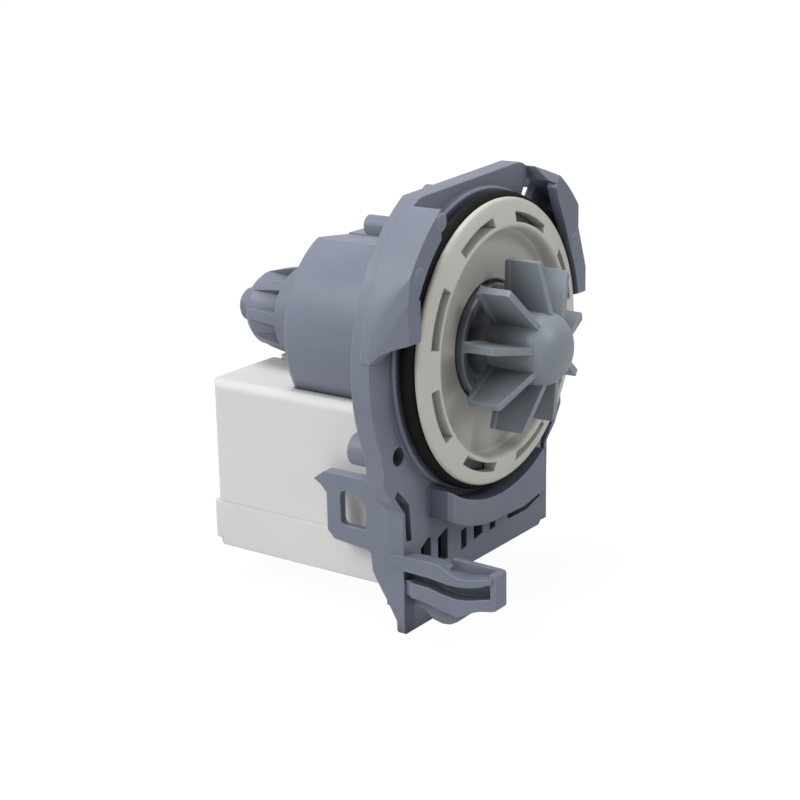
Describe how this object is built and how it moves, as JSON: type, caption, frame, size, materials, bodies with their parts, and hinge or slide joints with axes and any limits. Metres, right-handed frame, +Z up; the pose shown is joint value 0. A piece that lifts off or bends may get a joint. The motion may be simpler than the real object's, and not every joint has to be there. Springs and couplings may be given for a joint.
{
  "type": "dishwasher drain pump",
  "caption": "Drain pump with a vaned impeller in a slotted round cover, a twist-lock flange with latch and a potted coil block under its pole housing.",
  "frame": {"origin": "on the pump axis, in the front plane of the cover's rim", "axes": "+Z up with the coil block below, +Y back along the pump axis towards the ribbed knob, so the impeller looks to -Y; +X to the right as seen from the impeller"},
  "size_m": [0.0822, 0.0901, 0.0975],
  "materials": {
    "blue_grey_moulding": "satin moulded polypropylene, blue-grey",
    "cream_moulding": "satin moulded, cream-grey",
    "seal_rubber": "black rubber, faint sheen",
    "impeller_moulding": "satin moulded, grey",
    "white_potting": "matt white potting compound",
    "bobbin_nylon": "natural nylon",
    "copper_winding": "enamelled copper wire, glossy",
    "core_steel": "stacked electrical steel, edges slightly oxidised",
    "rivet_steel": "zinc-plated steel",
    "fuse_body": "glazed tan body",
    "tinned_brass": "tinned brass strip",
    "stainless_shaft": "ground stainless steel",
    "ferrite": "dark ceramic ferrite",
    "hub_nylon": "natural nylon",
    "washer_nylon": "filled nylon, dark grey",
    "sintered_bronze": "oil-soaked sintered bronze",
    "sleeve_rubber": "soft black rubber",
    "driver_moulding": "acetal, off-white"
  },
  "bodies": {
    "housing": {"carrier": "blue_grey_moulding", "pole_cover": "blue_grey_moulding", "cover": "cream_moulding", "cover_seal": "seal_rubber", "front_bearing": "sintered_bronze", "rear_bearing": "sintered_bronze", "front_bearing_sleeve": "sleeve_rubber", "rear_bearing_sleeve": "sleeve_rubber", "pole_left": "core_steel", "pole_right": "core_steel", "core_yoke": "core_steel", "core_rivets": "rivet_steel", "bobbin_left": "bobbin_nylon", "bobbin_right": "bobbin_nylon", "winding_left": "copper_winding", "winding_right": "copper_winding", "thermal_fuse": "fuse_body", "terminal_left": "tinned_brass", "terminal_right": "tinned_brass", "coil_block": "white_potting"},
    "rotor": {"rotor_shaft": "stainless_shaft", "rotor_magnet": "ferrite", "rotor_hub": "hub_nylon", "front_washer": "washer_nylon", "rear_washer": "washer_nylon", "drive_dog": "driver_moulding", "dog_cushion": "sleeve_rubber"},
    "impeller_wheel": {"impeller": "impeller_moulding", "hub_cap": "impeller_moulding"}
  },
  "joints": [
    {"name": "rotor_spin", "type": "hinge", "parent": "housing", "child": "rotor", "pos_m": [0, 0.02, 0], "axis": [0, 1, 0], "continuous": true},
    {"name": "impeller_play", "type": "hinge", "parent": "rotor", "child": "impeller_wheel", "pos_m": [0, -0.011, 0], "axis": [0, 1, 0], "range_deg": [-104, 104]}
  ]
}
